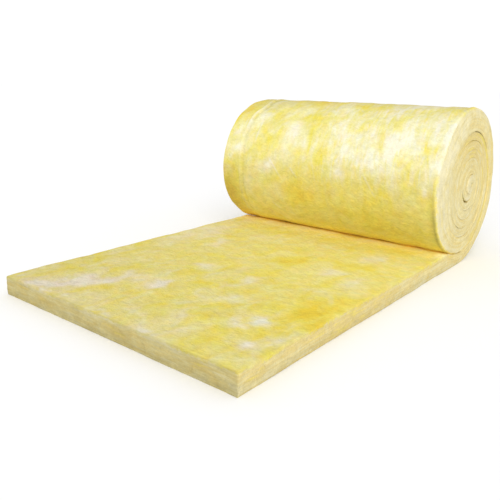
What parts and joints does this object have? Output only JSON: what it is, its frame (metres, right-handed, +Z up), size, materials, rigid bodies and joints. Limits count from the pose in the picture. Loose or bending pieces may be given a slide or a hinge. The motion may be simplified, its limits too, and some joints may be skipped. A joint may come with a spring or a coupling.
{
  "type": "insulation roll",
  "caption": "Thick unfaced glass wool blanket, wound into a roll with its outer length rolled out flat on the floor.",
  "frame": {"origin": "on the floor, in the middle of the whole part's footprint", "axes": "+X across the blanket, +Y from the free end to the roll, +Z up"},
  "size_m": [1.2, 1.9828, 0.726],
  "materials": {
    "glass_wool": "soft matte fibre"
  },
  "bodies": {
    "root": {"glass_wool_blanket": "glass_wool"}
  },
  "joints": []
}
